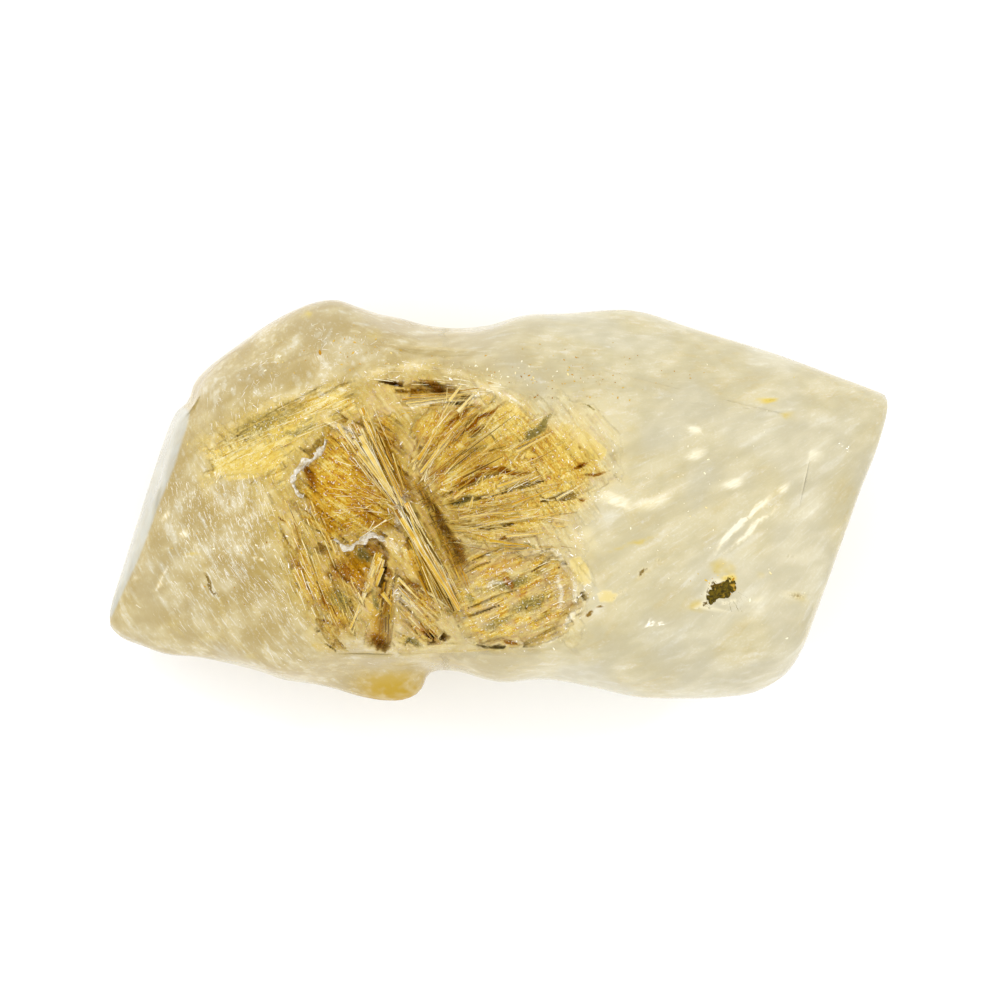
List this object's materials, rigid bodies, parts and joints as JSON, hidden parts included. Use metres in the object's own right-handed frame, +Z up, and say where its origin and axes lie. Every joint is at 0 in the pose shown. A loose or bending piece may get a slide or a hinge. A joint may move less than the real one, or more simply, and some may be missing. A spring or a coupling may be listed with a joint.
{
  "type": "fenster quartz crystal",
  "caption": "Tumbled cloudy champagne quartz crystal with slanting parallel ends and a skeletal window of sunken panes, golden iron-stained blades and pits in its upper side",
  "frame": {"origin": "Middle of the bounding box at its lowest height, on the plane of the flat rest face", "axes": "+X runs along the crystal from the lower left end facet to the right end face, +Y across it towards the straight upper edge, +Z up out of the window side, and the shortest way through it"},
  "size_m": [0.048, 0.0246, 0.0192],
  "materials": {
    "cloudy_quartz": "worn glossy, cloudy, see-through",
    "iron_stain": "satin, iron stained",
    "clay": "matte, earthy"
  },
  "bodies": {
    "root": {"crystal": "cloudy_quartz"}
  },
  "joints": []
}
